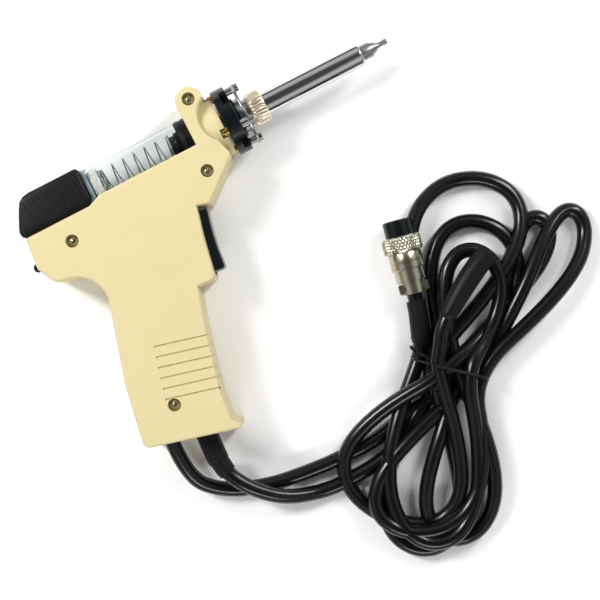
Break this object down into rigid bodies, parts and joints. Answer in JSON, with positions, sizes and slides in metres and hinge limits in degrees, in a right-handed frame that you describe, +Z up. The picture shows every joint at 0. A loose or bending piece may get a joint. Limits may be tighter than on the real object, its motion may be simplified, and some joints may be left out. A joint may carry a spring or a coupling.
{
  "type": "desoldering gun",
  "caption": "Pistol-grip electric desoldering gun with glass solder collecting tube, heated nozzle, trigger, power cable with round screw plug and vacuum hose tied in a hank.",
  "frame": {"origin": "middle of the gun's footprint on the table, without the cords, at table height", "axes": "+X along the barrel towards the nozzle, +Y from the handle towards the top of the gun, +Z up out of the table that the gun lies on"},
  "size_m": [0.2493, 0.252, 0.034],
  "materials": {
    "casing_plastic": "fine satin",
    "black_plastic": "satin",
    "bakelite": "gloss",
    "trigger_plastic": "gloss",
    "steel": "machined",
    "chrome": "polished",
    "nickel": "knurled, nickel plated",
    "brass": "turned",
    "ceramic": "fired",
    "glass": "clear",
    "filter": "ceramic paper",
    "black_rubber": "moulded",
    "grey_rubber": "silicone",
    "cord_jacket": "glossy vinyl",
    "switch_plastic": "moulded",
    "red_plastic": "moulded"
  },
  "bodies": {
    "casing": {"upper_casing": "casing_plastic", "lower_casing": "casing_plastic", "casing_screws": "steel", "heater_mount": "bakelite", "mount_nuts": "brass", "spacers": "chrome", "heater_plate": "steel", "plate_washers": "chrome", "plate_screws": "steel", "heater_collar": "steel", "mount_sleeve": "steel", "heater_core": "ceramic", "suction_tube": "steel", "front_seal": "black_rubber", "button_spring": "steel", "trigger_pin": "steel", "switch_body": "switch_plastic", "inner_hose": "black_rubber", "heater_leads": "red_plastic", "power_cable": "cord_jacket", "cable_sleeve": "black_rubber", "cable_clamp": "black_plastic", "clamp_screws": "steel", "vacuum_hose": "cord_jacket", "cord_hank": "cord_jacket", "hank_tie": "black_rubber", "plug_insert": "bakelite", "plug_contacts": "brass", "plug_body": "chrome", "plug_clamp": "chrome", "plug_clamp_screws": "steel", "plug_cable": "cord_jacket", "plug_sleeve": "black_rubber", "hose_tail": "cord_jacket", "hose_end_sleeve": "black_rubber"},
    "pipe": {"heater_pipe": "chrome", "nozzle": "chrome"},
    "nut": {"pipe_nut": "nickel"},
    "tube": {"glass_tube": "glass", "collector_spring": "steel", "filter_pad": "filter"},
    "cap": {"rear_cap": "black_plastic", "seal_carrier": "black_plastic", "rear_seal": "grey_rubber"},
    "button": {"release_button": "black_plastic", "release_latch": "steel"},
    "trigger": {"trigger": "trigger_plastic", "trigger_spring": "steel"},
    "plunger": {"switch_plunger": "red_plastic"},
    "ring": {"plug_ring": "nickel"}
  },
  "joints": [
    {"name": "trigger_pull", "type": "hinge", "parent": "casing", "child": "trigger", "pos_m": [-0.0216, 0.01896, 0.017], "axis": [0, 0, -1], "range_deg": [0, 7], "stiffness_Nm_per_rad": 0.25, "springref_deg": -8.59},
    {"name": "switch_plunger_slide", "type": "slide", "parent": "casing", "child": "plunger", "axis": [-1, 0, 0], "range_m": [0, 0.0017]},
    {"name": "release_button_press", "type": "slide", "parent": "casing", "child": "button", "axis": [1, 0, 0], "range_m": [0, 0.0015], "stiffness_N_per_m": 900, "springref_m": -0.0015, "deforming": ["button_spring"]},
    {"name": "rear_cap_slide", "type": "slide", "parent": "casing", "child": "cap", "axis": [-1, 0, 0], "range_m": [0, 0.014]},
    {"name": "glass_tube_slide", "type": "slide", "parent": "casing", "child": "tube", "axis": [-1, 0, 0], "range_m": [0, 0.007]},
    {"name": "pipe_slide", "type": "slide", "parent": "casing", "child": "pipe", "axis": [1, 0, 0], "range_m": [0, 0.003]},
    {"name": "pipe_nut_spin", "type": "hinge", "parent": "pipe", "child": "nut", "pos_m": [0.028, 0.05436, 0.017], "axis": [1, 0, 0], "range_deg": [0, 1080]},
    {"name": "plug_ring_spin", "type": "hinge", "parent": "casing", "child": "ring", "pos_m": [0.06213, -0.03496, 0.00955], "axis": [0.2181, 0.9759, 0], "continuous": true}
  ],
  "couplings": [
    {"joint": "switch_plunger_slide", "follows": "trigger_pull", "m_per_rad": 0.0136},
    {"joint": "glass_tube_slide", "follows": "rear_cap_slide", "ratio": 0.5},
    {"joint": "pipe_nut_spin", "follows": "pipe_slide", "rad_per_m": 6283}
  ]
}
